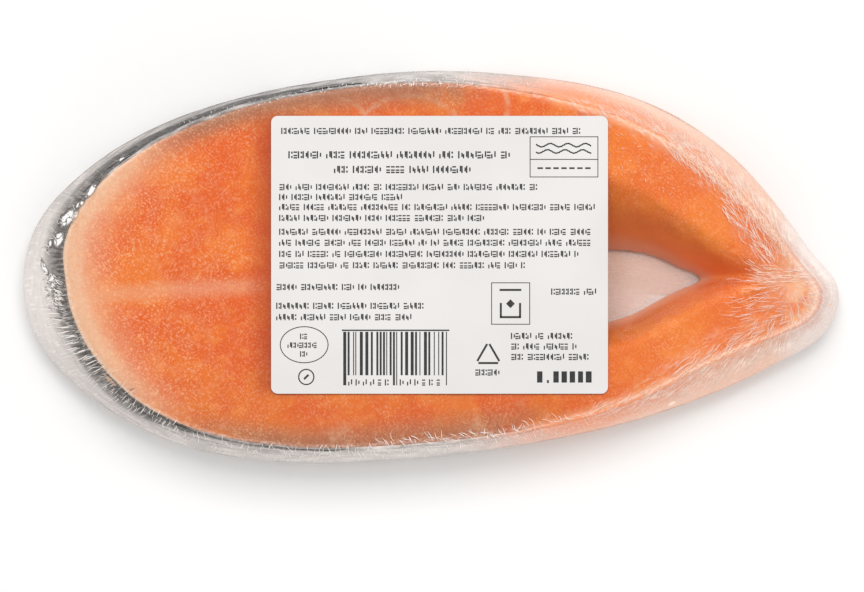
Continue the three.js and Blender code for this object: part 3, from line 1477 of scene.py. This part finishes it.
    def run_in(self, draw: np.random.Generator, family: Creases) -> Iterator[Fold]:
        """Draws the creases of a family that runs in from the outline.

        Args:
            draw: The random draws.
            family: The family.

        Yields:
            Each fold.
        """
        stations = self.outline_stations
        loop = self.form.loop(stations)
        outline = loop.xy(0.0)
        for place in (np.arange(family.count) + draw.uniform(0, 1, family.count)) / family.count:
            bearing = math.radians(np.interp(place, (0, 1), family.bearing)) % TURN
            station = int(np.searchsorted(loop.angle, bearing)) % stations
            edge = outline[(station + 2) % stations] - outline[station - 2]
            edge /= np.linalg.norm(edge)
            turn = math.radians(draw.normal(*family.turn))
            inward = np.array([-edge[1], edge[0]])
            start = outline[station] + inward * draw.uniform(*family.setback)
            ahead, aside = inward, edge
            if family.aim:
                ahead = np.array(family.aim) - start
                ahead /= np.linalg.norm(ahead)
                aside = np.array([ahead[1], -ahead[0]])
            way = ahead * math.cos(turn) + aside * math.sin(turn)
            run = way * draw.uniform(*family.length)
            bow, width = draw.normal(0, 0.08), family.width * draw.uniform(0.6, 1.3)
            yield Fold(start, run, bow, width, family.white)

    @staticmethod
    def fan_out(draw: np.random.Generator, family: Spokes) -> Iterator[Fold]:
        """Draws the creases of a family that fans out from one place.

        Args:
            draw: The random draws.
            family: The family.

        Yields:
            Each fold.
        """
        for _ in range(family.count):
            bearing = math.radians(draw.uniform(*family.bearing))
            way = np.array([math.cos(bearing), math.sin(bearing)])
            start = np.array(family.centre) + way * draw.uniform(*family.reach)
            run = way * draw.uniform(*family.length)
            bow, width = draw.normal(0, 0.06), family.width * draw.uniform(0.6, 1.3)
            yield Fold(start, run, bow, width, family.white)

    def all_folds(self) -> list[Fold]:
        """Every sharp crease.

        Returns:
            The folds.
        """
        draw = np.random.default_rng(31)
        families = [
            Creases((187, 199), (4.6, 6.4), (2.8, 4.2), (24, 4), 26, 0.22, 0.9),
            Creases((187, 206), (4.4, 8.0), (1.2, 2.6), (26, 6), 44, 0.12, 0.7),
            Creases((187, 206), (4.6, 7.4), (1.4, 3.0), (25, 5), 26, 0.16, 0.0),
            Creases((199, 214), (2.8, 4.6), (1.2, 2.2), (14, 7), 52, 0.14, 0.85),
            Creases((180.4, 187), (5.0, 9.0), (0.6, 1.8), (15, 36), 76, 0.2, 0.95),
            Creases((180.4, 187), (5.0, 9.0), (0.8, 1.8), (15, 36), 20, 0.15, 0.0),
            Creases((168, 178), (3.4, 5.6), (0.8, 1.8), (10, 14), 14, 0.14, 0.9),
            Creases((166, 178), (3.2, 5.4), (1.0, 2.2), (10, 14), 14, 0.14, 0.0),
            Creases((212, 255), (1.4, 3.4), (1.0, 2.2), (0, 35), 70, 0.15),
            Creases((255, 318), (0.8, 5.0), (1.0, 2.6), (-40, 25), 130, 0.13),
            Creases((108, 150), (1.6, 3.2), (0.3, 0.9), (0, 70), 70, 0.14, 0.9),
            Creases((92, 108), (2.4, 3.6), (0.4, 1.2), (0, 50), 26, 0.15, 0.95),
            Creases((180.5, 196), (8.4, 9.8), (0.8, 2.0), (22, 10), 40, 0.14, 0.8),
            Creases((60, 100), (1.5, 4.0), (0.6, 1.8), (30, 40), 50, 0.12),
            Creases((30, 47), (1.6, 6.0), (1.0, 3.2), (0, 14), 190, 0.1, 0.75, self.gather),
            Creases((16, 31), (1.8, 8.6), (1.2, 3.8), (0, 13), 320, 0.11, 0.75, self.gather),
            Creases((5, 17), (1.8, 12.0), (1.4, 4.4), (0, 12), 230, 0.11, 0.8, self.gather),
            Creases((-14, -6), (2.0, 9.0), (1.4, 4.4), (0, 12), 60, 0.11, 0.75, self.gather),
            Creases((-30, -15), (1.6, 10.0), (1.4, 4.6), (0, 10), 190, 0.11, 0.75, self.gather),
            Creases((-46, -29), (1.6, 6.0), (1.2, 3.6), (0, 14), 140, 0.1, 0.75, self.gather),
            Creases((22, 46), (9.0, 18.0), (0.4, 1.2), (0, 60), 60, 0.1, 0.6, self.gather),
            Creases((6, 40), (2.4, 5.4), (0.8, 2.4), (0, 16), 230, 0.1, 0.8, self.gather),
            Creases((-36, -10), (2.4, 5.0), (0.8, 2.4), (0, 16), 150, 0.1, 0.8, self.gather),
            Creases((-6, 12), (3.2, 8.0), (0.8, 2.2), (0, 18), 130, 0.1, 0.8, self.gather),
        ]
        fans = [
            Spokes(self.gather, (146, 212), (3.0, 11.0), (1.6, 4.6), 60, 0.1, 0.75),
            Spokes(self.gather, (0, 360), (1.0, 4.0), (0.8, 2.2), 20, 0.12, 0.7),
            Spokes((101.0, -2.4), (172, 184), (8.0, 20.0), (2.0, 5.5), 36, 0.12, 0.8),
            Spokes((100.0, -8.0), (178, 202), (14.0, 28.0), (1.6, 4.6), 54, 0.1, 0.7),
        ]
        folds = [fold for family in families for fold in self.run_in(draw, family)]
        return folds + [fold for family in fans for fold in self.fan_out(draw, family)]

    def creases(self, skin: Piece, finish: bpy.types.Material) -> Piece:
        """Pinches sharp creases out of the film, each a copy of one slender spindle laid on it.

        Args:
            skin: The film.
            finish: The film's material.

        Returns:
            The creases.
        """
        Bench.clear()
        bpy.ops.mesh.primitive_uv_sphere_add(segments=4, ring_count=7, radius=1.0)
        piece = Bench.claim("film_creases")
        spindle = Bench.points(piece) * MM
        sheets = [tuple(polygon.vertices) for polygon in skin.data.polygons]
        tree = BVHTree.FromPolygons(Bench.points(skin), sheets)
        laid, white = [], []
        for fold in self.all_folds():
            points = self.lay(spindle, fold, tree, self.crease_height)
            if points is not None:
                laid.append(points)
                white.append(np.full(len(points), fold.white))
        self.repeat(piece, laid)
        # haze is each crease's white, partly painted highlight; creases without white take the painted shadow
        # colour
        Bench.paint(piece, "haze", np.concatenate(white))
        Bench.paint(piece, "glint", np.where(np.concatenate(white) > 0, -1.0, GLINT_EDGE))
        Bench.paint(piece, "warm", 0.4 * ease(Bench.points(piece)[:, 0], 10, 40))
        piece.data.materials.append(finish)
        return piece

    @staticmethod
    def repeat(piece: Piece, copies: list[Array]) -> None:
        """Fills a piece with copies of its own mesh.

        Args:
            piece: The piece.
            copies: The points of each copy, in mm.
        """
        faces = [tuple(polygon.vertices) for polygon in piece.data.polygons]
        size = len(piece.data.vertices)
        joined = [tuple(v + i * size for v in face) for i in range(len(copies)) for face in faces]
        Bench.fill(piece, np.concatenate(copies), joined)

    @staticmethod
    def lay(spindle: Array, fold: Fold, tree: BVHTree, rise: float) -> Array | None:
        """Stretches the spindle along a fold and lays it on the film.

        Args:
            spindle: The spindle's points; it lies along Z, from -1 to 1.
            fold: The fold.
            tree: The film, to find its height.
            rise: How high the crease stands, as a share of its width.

        Returns:
            The laid points, or None where there is no film below.
        """
        levels, level = np.unique(np.round(spindle[:, 2], 4), return_inverse=True)
        share = (levels[:, None] + 1) / 2
        across = np.array([-fold.run[1], fold.run[0]])
        plan = fold.start + fold.run * share + across * fold.bow * np.sin(math.pi * share)
        hits = [tree.ray_cast(Vector((px, py, 40.0)), Vector((0, 0, -1))) for px, py in plan]
        if any(hit[0] is None for hit in hits):
            return None
        place = np.array([hit[0] for hit in hits])
        up = np.array([hit[1] for hit in hits])
        run = np.gradient(place, axis=0)
        side = np.cross(up, run)
        side /= np.linalg.norm(side, axis=1)[:, None]
        turned = side[level] * spindle[:, 0:1] + up[level] * spindle[:, 1:2] * rise
        return place[level] + turned * fold.width / 2

    def whiten(self, piece: Piece, points: Array, wall: Array) -> None:
        """Stores the film's frost, its hair-fine creases and its glints.

        Args:
            piece: The film.
            points: Its points before it is crumpled, in mm.
            wall: 1 on the side wall and 0 on the top face.
        """
        x, y, z = points.T
        bearing = np.degrees(np.arctan2(y, x)) % 360
        from_middle = np.hypot(x, y)
        off_edge = np.abs(from_middle / np.hypot(*self.edge_at(np.radians(bearing)).T) - 1) * from_middle
        off_streak = eased_curve(bearing, self.off_streak, 3.0)
        line = self.cavity.depth_line(x, y, self.form.height)
        hole = ease(z, 1.0, 0.2) * ease(line, 2.0, -1.0) * (x > 0)
        low = ease(z, 14.2, 9.5)
        side = eased_curve(bearing, self.haze_low, 6.0) * low
        side = (side + eased_curve(bearing, self.haze_high, 6.0) * (1 - low)) * ease(z, 0.05, 1.2)
        seam = ease(off_edge, 2.6, 0.2) * ease(z, 8, 13) * ease(x, 34, 72)
        tip = ease(np.hypot(x - self.gather[0], y - self.gather[1]), 9.0, 2.0) * ease(z, 8.0, 12.0)
        # in the hole the film is frosted and painted warm as orange bounce light off the cavity walls; shaded
        # adds painted shade under the upper slope and the label
        shaded = ease(y, -9.0, 3.0) * ease(x, 60.0, 40.0)
        right = ease(x, 10, 40) * (0.6 + 0.3 * (1 - wall) - 0.5 * ease(x, 80, 90)) * (1 - hole)
        painted = {
            "lip": ease(off_edge, 0.9, 0.1) * (z > 10) * (0.4 + 0.6 * off_streak),
            "haze": np.clip(wall * side + 0.01 + hole * 0.6 + tip * 0.22 + seam * 0.34, 0, 1),
            "hair": wall * (0.25 - 0.1 * ease(x, 20, 60)) * off_streak,
            "frost": self.frosted(points),
            "warm": np.clip(hole * (0.33 + 0.3 * shaded) + right, 0, 1),
            "glint": self.glinting(x, y),
        }
        for name, values in painted.items():
            Bench.paint(piece, name, values)

    def frosted(self, points: Array) -> Array:
        """How frosty the film is: only near the belly tip, and in from the top face's edge.

        Args:
            points: The film's points before it is crumpled, in mm.

        Returns:
            The frost at each point, 0 to 1.
        """
        x, y, z = points.T
        above, below = (eased_curve(x, stops, 2.0) for stops in (self.frost_above, self.frost_below))
        depth = np.where(y > self.gather[1], above, below)
        away = self.from_edge(points) + 0.12 * depth * ripple(points, 3.0, 41)
        frosty = ease(away, depth + 0.1, depth * 0.35) * ease(x, 22, 36) * ease(np.abs(z - 4), 1, 8)
        return frosty * (1 - 0.5 * ease(x, 85, 89))

    def glinting(self, x: Array, y: Array) -> Array:
        """How near each point is to the middle of a glint.

        Args:
            x: The film's places along the steak, in mm.
            y: Its places across it.

        Returns:
            1 in a glint's middle, 0 at its edge, and -1 from there on.
        """
        glint = np.full(len(x), -1.0)
        for patch in self.glints:
            cosine, sine = math.cos(math.radians(patch.angle)), math.sin(math.radians(patch.angle))
            dx, dy = x - patch.centre[0], y - patch.centre[1]
            u = (dx * cosine + dy * sine) / patch.size[0]
            v = (dy * cosine - dx * sine) / patch.size[1]
            glint = np.maximum(glint, 1 - np.hypot(u, v))
        return glint


# ---- the label ---------------------------------------------------------------------------------


@dataclass
class Label:
    """The paper label and its print. Places on it are measured in mm from its upper left corner."""

    corner: float = 1.6
    thickness: float = 0.14
    ink: float = 0.012
    stroke: float = 0.3
    small: float = 1.5
    pitch: float = 0.98
    word: tuple[int, int] = (2, 10)
    above_film: float = 0.05

    def __post_init__(self) -> None:
        """Reads the label's place from the frame and lays it on the film."""
        low, high = (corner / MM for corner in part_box("label"))
        self.left, self.upper = low.x, high.y
        self.width, self.length = high.x - low.x, high.y - low.y
        self.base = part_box("wrapped_steak")[1].z / MM + self.above_film
        self.marks: list[tuple[float, float, float, float, float]] = []

    def build(self) -> list[Piece]:
        """Builds the paper and the print.

        Returns:
            Both pieces.
        """
        return [self.paper(), self.print()]

    def paper(self) -> Piece:
        """Cuts the paper with its rounded corners.

        Returns:
            The paper.
        """
        Bench.clear()
        bpy.ops.mesh.primitive_plane_add(size=2.0)
        piece = Bench.claim("label_paper")
        plan = Bench.points(piece) * MM
        centre = (self.left + self.width / 2, self.upper - self.length / 2)
        x = centre[0] + plan[:, 0] * self.width / 2
        y = centre[1] + plan[:, 1] * self.length / 2
        Bench.place(piece, np.stack([x, y, np.full(len(x), self.base)], axis=1))
        with Bench.editing(piece):
            bpy.ops.mesh.bevel(offset=self.corner * MM, segments=8, affect="VERTICES", offset_type="OFFSET")
            bpy.ops.mesh.select_all(action="SELECT")
            bpy.ops.mesh.extrude_region_move(TRANSFORM_OT_translate={"value": (0, 0, self.thickness * MM)})
            Bench.close_up()
        Bench.smooth(piece, 30)
        piece.data.materials.append(PaperFinish().build())
        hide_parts("label")
        return piece

    def bar(self, x: float, y: float, width: float, height: float, turn: float = 0.0) -> None:
        """Puts down one printed bar.

        Args:
            x: The bar's middle, from the label's left edge.
            y: The bar's middle, from the label's upper edge.
            width: Its width.
            height: Its height.
            turn: How far it is turned, in degrees.
        """
        self.marks.append((x, y, width, height, turn))

    def line(self, start: float, end: float, y: float, size: float, draw: np.random.Generator) -> None:
        """Prints one line of abstract strokes in word-long groups, with nothing to read.

        Args:
            start: Where the line starts.
            end: Where it ends.
            y: Its middle.
            size: The strokes' height.
            draw: The random draws.
        """
        pitch = self.pitch * size / self.small
        x, left = start + pitch / 2, int(draw.integers(*self.word))
        while x < end - pitch / 2:
            if left == 0:
                left = int(draw.integers(*self.word))
            else:
                self.stroke_group(x, y, size, int(draw.integers(0, 4)))
                left -= 1
            x += pitch

    def stroke_group(self, x: float, y: float, size: float, kind: int) -> None:
        """One of four plain groups of strokes, none of them a letter.

        Args:
            x: The group's middle.
            y: Its middle.
            size: Its height.
            kind: Which group.
        """
        half, thin = size * 0.22, self.stroke * size / self.small
        if kind == 0:
            self.bar(x - half, y, thin, size)
            self.bar(x + half, y, thin, size * 0.55)
        elif kind == 1:
            self.bar(x, y - size * 0.36, half * 2.4, thin)
            self.bar(x, y + size * 0.1, half * 2.4, thin)
            self.bar(x, y + size * 0.42, half * 2.4, thin)
        elif kind == 2:
            self.bar(x - half, y + size * 0.2, thin, size * 0.6)
            self.bar(x + half, y - size * 0.1, thin, size * 0.8)
        else:
            self.bar(x - half, y, thin, size)
            self.bar(x + half * 0.8, y - size * 0.3, half, thin * 1.4)
            self.bar(x + half * 0.8, y + size * 0.3, half, thin * 1.4)

    def frame_of(self, left: float, top: float, right: float, bottom: float, thin: float) -> None:
        """Prints a plain rectangle's four sides.

        Args:
            left: Its left side.
            top: Its upper side.
            right: Its right side.
            bottom: Its lower side.
            thin: How thick the sides are.
        """
        for y in (top, bottom):
            self.bar((left + right) / 2, y, right - left + thin, thin)
        for x in (left, right):
            self.bar(x, (top + bottom) / 2, thin, bottom - top)

    def oval(self, x: float, y: float, wide: float, high: float, thin: float, parts: int = 40) -> None:
        """Prints an oval ring as short bars end to end.

        Args:
            x: Its middle, from the label's left edge.
            y: Its middle, from the label's upper edge.
            wide: Half its width.
            high: Half its height.
            thin: How thick the ring is.
            parts: How many bars.
        """
        overlap = 1.12
        for i in range(parts):
            turn = (i + 0.5) / parts * TURN
            dx, dy = -wide * math.sin(turn), high * math.cos(turn)
            length = math.hypot(dx, dy) * TURN / parts * overlap
            place = (x + wide * math.cos(turn), y + high * math.sin(turn))
            self.bar(*place, length, thin, -math.degrees(math.atan2(dy, dx)))

    def layout(self) -> None:
        """Lays out all of the print."""
        draw = np.random.default_rng(5)
        small = self.small
        rows = [
            (2.4, 74.1, 3.6), (1.9, 64.5, 17.0), (1.9, 31.8, 19.4), (1.9, 77.4, 21.8), (1.9, 51.6, 24.4),
            (1.9, 77.2, 27.7), (1.9, 77.2, 30.3), (1.9, 74.1, 33.0), (1.9, 61.4, 35.7), (1.2, 32.5, 40.9),
            (1.2, 37.0, 45.4), (1.2, 33.9, 48.1), (66.9, 78.1, 42.0), (57.3, 72.6, 52.6), (57.3, 73.1, 55.1),
            (57.3, 76.9, 57.6), (48.7, 55.4, 61.3),
        ]
        for start, end, y in rows:
            self.line(start, end, y, small, draw)
        self.line(4.1, 58.1, 9.3, small * 1.15, draw)
        self.line(15.0, 48.0, 12.8, small * 1.15, draw)
        self.badge()
        self.bin_mark()
        self.oval(7.9, 54.7, 5.7, 4.3, 0.22)
        for start, end, y in ((6.9, 9.1, 52.7), (3.9, 12.0, 54.8), (6.9, 9.1, 56.9)):
            self.line(start, end, y, small * 0.9, draw)
        self.oval(8.4, 62.4, 1.8, 1.8, 0.3, 20)
        self.bar(8.4, 62.4, 1.5, 0.5, 45)
        self.bar_code(draw)
        self.triangle()
        for i, wide in enumerate((1.3, 0.5, 1.3, 1.3, 1.3, 1.2, 1.4)):
            drop, high = (1.1, 0.7) if i == 1 else (0.0, 2.7)
            self.bar(64.2 + i * 1.95, 62.4 + drop, wide, high)

    def badge(self) -> None:
        """Prints the outlined box at the upper right, with plain waves in its upper half."""
        self.frame_of(61.9, 5.0, 78.1, 14.6, 0.2)
        self.bar(70.0, 10.4, 16.2, 0.2)
        for row, low in ((0, 7.0), (1, 8.5)):
            for i in range(22):
                x = 63.6 + i * 0.6
                slope = math.degrees(math.atan(0.9 * math.cos(i * 0.9 + row)))
                self.bar(x, low + 0.38 * math.sin(i * 0.9 + row), 0.72, 0.34, -slope)
        for i in range(7):
            self.bar(64.3 + i * 1.9, 12.5, 1.3, 0.42)

    def bin_mark(self) -> None:
        """Prints the small frame with a plain open box in it."""
        self.frame_of(52.7, 39.9, 61.8, 49.8, 0.2)
        for x, y, wide, high in ((57.2, 41.6, 5.2, 0.5), (54.9, 46.4, 0.5, 3.4), (59.5, 46.4, 0.5, 3.4)):
            self.bar(x, y, wide, high)
        self.bar(57.2, 48.1, 5.1, 0.5)
        self.bar(57.2, 44.9, 1.5, 1.5, 45)

    def bar_code(self, draw: np.random.Generator) -> None:
        """Prints upright bars of uneven width that code nothing.

        Args:
            draw: The random draws.
        """
        left, right, top, low, deep = 17.2, 42.3, 51.6, 62.0, 64.4
        module = (right - left) / 95
        at = 0
        while at < 94:
            wide = int(draw.integers(1, 4))
            guard = at < 3 or 44 <= at <= 49 or at > 90
            bottom = deep if guard else low
            middle = left + (at + wide / 2) * module
            self.bar(middle, (top + bottom) / 2, wide * module * 0.92, bottom - top)
            at += wide + int(draw.integers(1, 4))
        self.bar((left + right) / 2, top - 0.35, right - left + 0.6, 0.35)
        for start in (18.9, 31.2):
            for i in range(6):
                self.stroke_group(start + i * 1.75, 63.7, 1.5, int(draw.integers(0, 4)))

    def triangle(self) -> None:
        """Prints a plain triangle of three bars."""
        middle, reach, side = (51.9, 57.4), 1.674, 4.725
        for turn in (90, 210, 330):
            x = middle[0] + reach * math.cos(math.radians(turn))
            y = middle[1] + reach * math.sin(math.radians(turn))
            self.bar(x, y, side, 0.5, 90 - turn)

    def print(self) -> Piece:
        """Prints all the marks as thin raised ink, each a copy of one bar.

        Returns:
            The print.
        """
        self.layout()
        Bench.clear()
        bpy.ops.mesh.primitive_cube_add(size=1.0)
        piece = Bench.claim("label_print")
        block = Bench.points(piece) * MM
        sides = np.array([polygon.vertices[:] for polygon in piece.data.polygons])
        marks, sunk = np.array(self.marks), 0.002
        turn = np.radians(marks[:, 4])[:, None]
        wide, high = block[:, 0] * marks[:, 2:3], block[:, 1] * marks[:, 3:4]
        x = self.left + marks[:, 0:1] + wide * np.cos(turn) - high * np.sin(turn)
        y = self.upper - marks[:, 1:2] + wide * np.sin(turn) + high * np.cos(turn)
        z = self.base + self.thickness + self.ink * (block[:, 2] + 0.5) - sunk + 0 * x
        points = np.stack([x, y, z], axis=-1).reshape(-1, 3)
        faces = (sides[None] + len(block) * np.arange(len(marks))[:, None, None]).reshape(-1, 4)
        Bench.fill(piece, points, faces.tolist())
        piece.data.materials.append(InkFinish().build())
        return piece


# ---- the studio --------------------------------------------------------------------------------


@dataclass
class Studio:
    """A white table, soft lights and a camera straight above the label."""

    camera_height: float = 900.0
    view_width: float = 206.4
    view_centre: tuple[float, float] = (0.0, -7.05)
    table_size: float = 6.0
    sensor: float = 36.0
    surround: float = 0.62
    white: Colour = (0.845, 0.837, 0.83)
    off_white: Colour = (0.835, 0.827, 0.82)

    def build(self) -> None:
        """Sets up everything that isn't part of the pack."""
        self.table()
        self.lamps()
        self.camera()
        bpy.context.scene.view_settings.view_transform = "Standard"

    def table(self) -> None:
        """Makes the white table."""
        Bench.clear()
        bpy.ops.mesh.primitive_plane_add(size=self.table_size, location=(0, 0, -0.2 * MM))
        floor = Bench.claim("table")
        net = Net("white_table")
        colour = net.mix(net.noise(60.0) * 0.3, self.white, self.off_white)
        floor.data.materials.append(net.show(net.solid(colour, 0.9, Specular_IOR_Level=0.0)))

    def lamps(self) -> None:
        """Hangs the soft lights and sets the surround."""
        world = bpy.data.worlds.new("surround")
        bpy.context.scene.world = world
        world.use_nodes = True
        back = world.node_tree.nodes["Background"]
        back.inputs["Color"].default_value = (1.0, 1.0, 1.0, 1.0)
        back.inputs["Strength"].default_value = self.surround
        self.lamp("key", (0.05, 0.58, 0.87), (0.8, 0.5), 6.9)
        self.lamp("fill", (0.1, -0.89, 0.26), (1.0, 0.3), 2.8)
        self.lamp("left", (-0.9, 0.1, 0.5), (0.35, 0.5), 1.0)
        self.lamp("right", (0.9, 0.2, 0.6), (0.4, 0.6), 1.2)

    @staticmethod
    def lamp(name: str, place: tuple[float, float, float], size: tuple[float, float], power: float) -> None:
        """Adds one soft light that faces the pack.

        Args:
            name: The light's name.
            place: Where it hangs, in metres.
            size: Its width and height, in metres.
            power: Its power, in watts.
        """
        data = bpy.data.lights.new(name, "AREA")
        data.shape, data.size, data.size_y, data.energy = "RECTANGLE", size[0], size[1], power
        light = bpy.data.objects.new(name, data)
        light.location = place
        light.rotation_euler = (-Vector(place)).to_track_quat("-Z", "Y").to_euler()
        bpy.context.scene.collection.objects.link(light)

    def camera(self) -> None:
        """Puts the camera straight above the pack, the photograph's way up."""
        data = bpy.data.cameras.new("camera")
        label_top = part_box("label")[1].z / MM
        data.sensor_width = self.sensor
        data.lens = self.sensor * self.camera_height / self.view_width
        camera = bpy.data.objects.new("camera", data)
        x, y = self.view_centre
        camera.location = Vector((x, y, self.camera_height + label_top)) * MM
        bpy.context.scene.collection.objects.link(camera)
        bpy.context.scene.camera = camera


def main() -> None:
    """Builds the pack and the studio, and reports each piece."""
    logging.basicConfig(level=logging.INFO, format="%(name)s: %(message)s")
    form, cavity = PackForm(), Cavity()
    pieces = Steak(form, cavity).build()
    pieces += Film(form, cavity).build()
    pieces += Label().build()
    for piece in pieces:
        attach(piece, "root")
        piece.data.calc_loop_triangles()
        LOG.info("%s: %d triangles", piece.name, len(piece.data.loop_triangles))
    Studio().build()
    Bench.clear()


if __name__ == "__main__":
    main()
